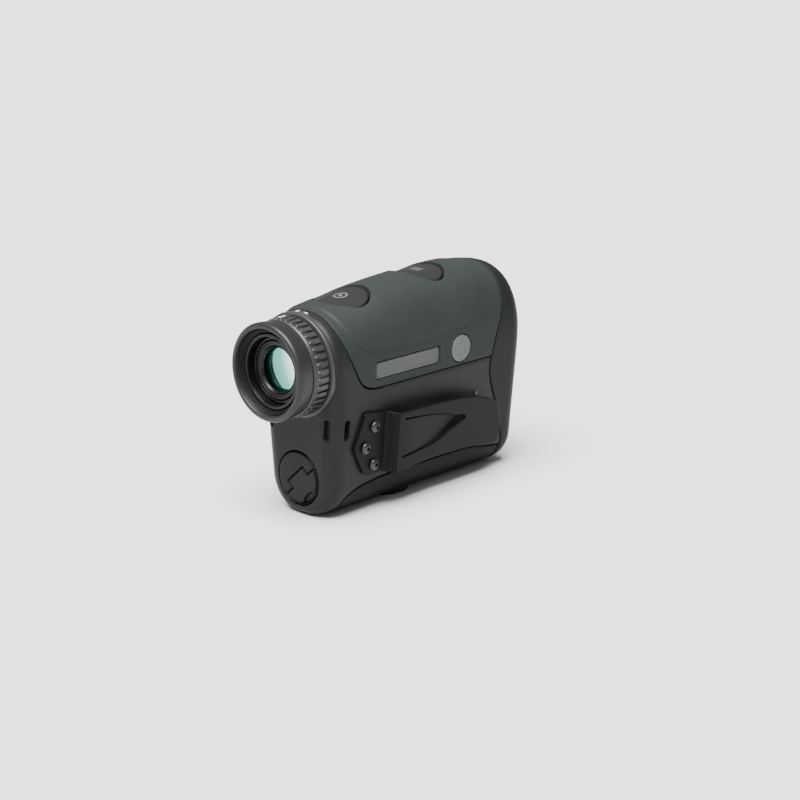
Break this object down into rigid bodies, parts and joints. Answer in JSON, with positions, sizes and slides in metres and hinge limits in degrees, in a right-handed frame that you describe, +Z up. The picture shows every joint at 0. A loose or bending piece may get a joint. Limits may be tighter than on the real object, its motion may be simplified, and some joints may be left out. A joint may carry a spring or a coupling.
{
  "type": "laser rangefinder",
  "caption": "Handheld monocular laser rangefinder with rubber-armoured casing, twist-up eyecup, diopter ring, crown buttons, battery cap with flip-up tab and a belt clip.",
  "frame": {"origin": "centre of the tripod socket, on the face of the boss that the instrument stands on", "axes": "+Y to the target, +X to the user's right, the side with the belt clip, +Z up through the crown; the eyepiece looks along -Y"},
  "size_m": [0.044, 0.1142, 0.0796],
  "materials": {
    "casing": "fine moulded texture, charcoal",
    "armor": "satin grey-green rubber armour",
    "eyecup_rubber": "smooth dark grey rubber",
    "seal_rubber": "black rubber",
    "button": "satin dark grey",
    "label": "satin grey-green, finely hatched",
    "clip_metal": "semi-gloss black powder coat",
    "screw_metal": "black oxide",
    "black_metal": "black anodised",
    "steel": "bright",
    "brass": "plain",
    "coated_lens": "teal anti-reflection coating",
    "clear_glass": "clear",
    "board": "green solder mask",
    "cell": "printed sleeve without marks"
  },
  "bodies": {
    "casing": {"main_housing": "casing", "top_armor": "armor", "bottom_armor": "armor", "front_bezel": "casing", "nameplate": "label", "badge": "label", "objective_retainer": "black_metal", "objective_lens": "coated_lens", "objective_barrel": "black_metal", "laser_retainer": "black_metal", "laser_lens": "coated_lens", "laser_barrel": "black_metal", "laser_transceiver": "board", "prism": "clear_glass", "prism_cage": "black_metal", "display": "clear_glass", "ocular_housing": "black_metal", "ocular_lens": "coated_lens", "ocular_retainer": "black_metal", "field_lens": "coated_lens", "ocular_seal": "seal_rubber", "button_board": "board", "measure_switch": "steel", "menu_switch": "steel", "battery": "cell", "battery_tube": "casing", "battery_contact": "brass", "main_board": "board", "shield_can": "steel", "tripod_insert": "brass", "utility_clip": "clip_metal", "clip_screw_1": "screw_metal", "clip_screw_2": "screw_metal", "clip_screw_3": "screw_metal", "clip_stop_pin": "steel"},
    "diopter": {"diopter_ring": "eyecup_rubber"},
    "eyecup_slider": {"eyecup_carrier": "black_metal"},
    "eyecup": {"eyecup": "eyecup_rubber"},
    "measure_key": {"measure_button": "button"},
    "menu_key": {"menu_button": "button"},
    "cap_slider": {"cap_contact": "steel"},
    "cap": {"battery_cap": "casing", "tab_pin": "steel", "cap_seal": "seal_rubber"},
    "tab": {"battery_tab": "casing"}
  },
  "joints": [
    {"name": "diopter_turn", "type": "hinge", "parent": "casing", "child": "diopter", "pos_m": [0, -0.0469, 0.0544], "axis": [0, -1, 0], "range_deg": [-60, 60]},
    {"name": "eyecup_rise", "type": "slide", "parent": "casing", "child": "eyecup_slider", "axis": [0, -1, 0], "range_m": [0, 0.005]},
    {"name": "eyecup_twist", "type": "hinge", "parent": "eyecup_slider", "child": "eyecup", "pos_m": [0, -0.0539, 0.0544], "axis": [0, -1, 0], "range_deg": [0, 90]},
    {"name": "measure_press", "type": "slide", "parent": "casing", "child": "measure_key", "axis": [0, 0, -1], "range_m": [0, 0.0008], "stiffness_N_per_m": 1200, "springref_m": -0.0005},
    {"name": "menu_press", "type": "slide", "parent": "casing", "child": "menu_key", "axis": [0, 0, -1], "range_m": [0, 0.0008], "stiffness_N_per_m": 1200, "springref_m": -0.0005},
    {"name": "cap_rise", "type": "slide", "parent": "casing", "child": "cap_slider", "axis": [0, -1, 0], "range_m": [0, 0.0025]},
    {"name": "cap_turn", "type": "hinge", "parent": "cap_slider", "child": "cap", "pos_m": [0, -0.0405, 0.0136], "axis": [0, -1, 0], "range_deg": [0, 720]},
    {"name": "tab_flip", "type": "hinge", "parent": "cap", "child": "tab", "pos_m": [-0.0006, -0.0416, 0.01427], "axis": [-0.7431, 0, -0.6691], "range_deg": [0, 90]}
  ],
  "couplings": [
    {"joint": "eyecup_rise", "follows": "eyecup_twist", "m_per_rad": 0.00318},
    {"joint": "cap_rise", "follows": "cap_turn", "m_per_rad": 0.000198}
  ]
}
